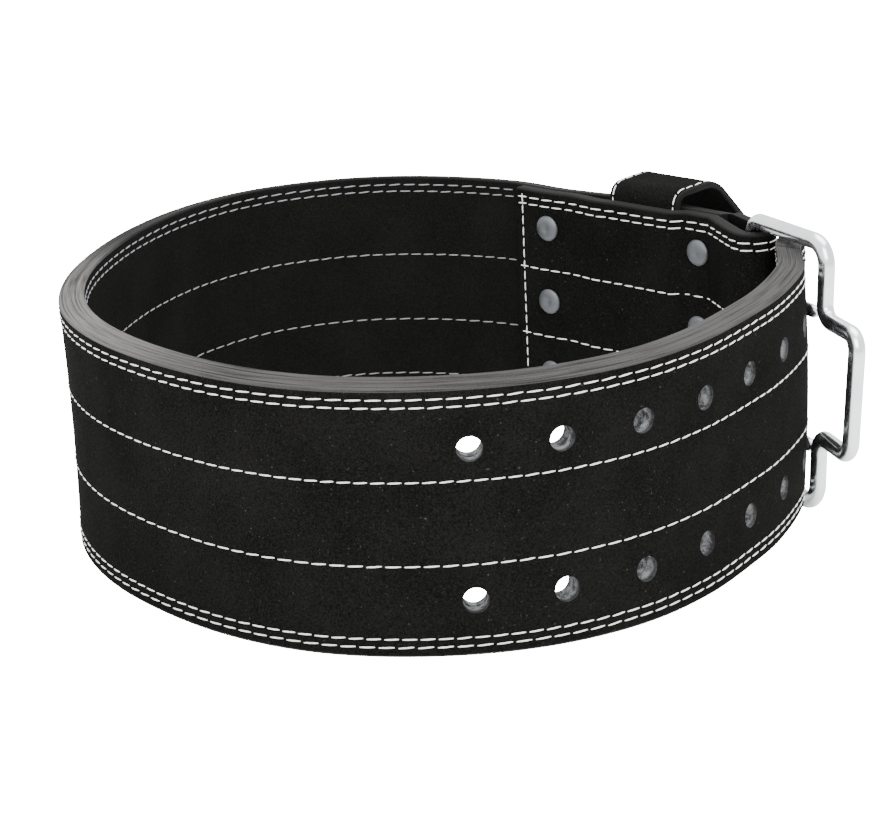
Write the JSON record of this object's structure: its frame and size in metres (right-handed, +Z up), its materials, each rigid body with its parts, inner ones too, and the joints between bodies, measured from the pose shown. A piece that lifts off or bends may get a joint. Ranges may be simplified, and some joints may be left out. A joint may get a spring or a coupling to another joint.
{
  "type": "weightlifting belt",
  "caption": "Black suede two-ply weightlifting belt with a double-prong buckle, keeper loop, six rivets and two rows of punched holes, closed and standing on edge.",
  "frame": {"origin": "centre of the bounding box on the surface that the belt stands on", "axes": "+Z up, +X to the side with the buckle, -Y to the punched front of the tongue"},
  "size_m": [0.317, 0.3268, 0.1163],
  "materials": {
    "suede": "black suede with a short nap",
    "suede_inner": "black suede with a short nap",
    "chrome": "bright plated bar",
    "zinc": "dull zinc rivets"
  },
  "bodies": {
    "root": {"outer_leather": "suede", "inner_leather": "suede_inner", "keeper_loop": "suede", "buckle_frame": "chrome", "prong_upper": "chrome", "prong_lower": "chrome", "rivet_near_upper": "zinc", "rivet_near_middle": "zinc", "rivet_near_lower": "zinc", "rivet_far_upper": "zinc", "rivet_far_middle": "zinc", "rivet_far_lower": "zinc"}
  },
  "joints": []
}
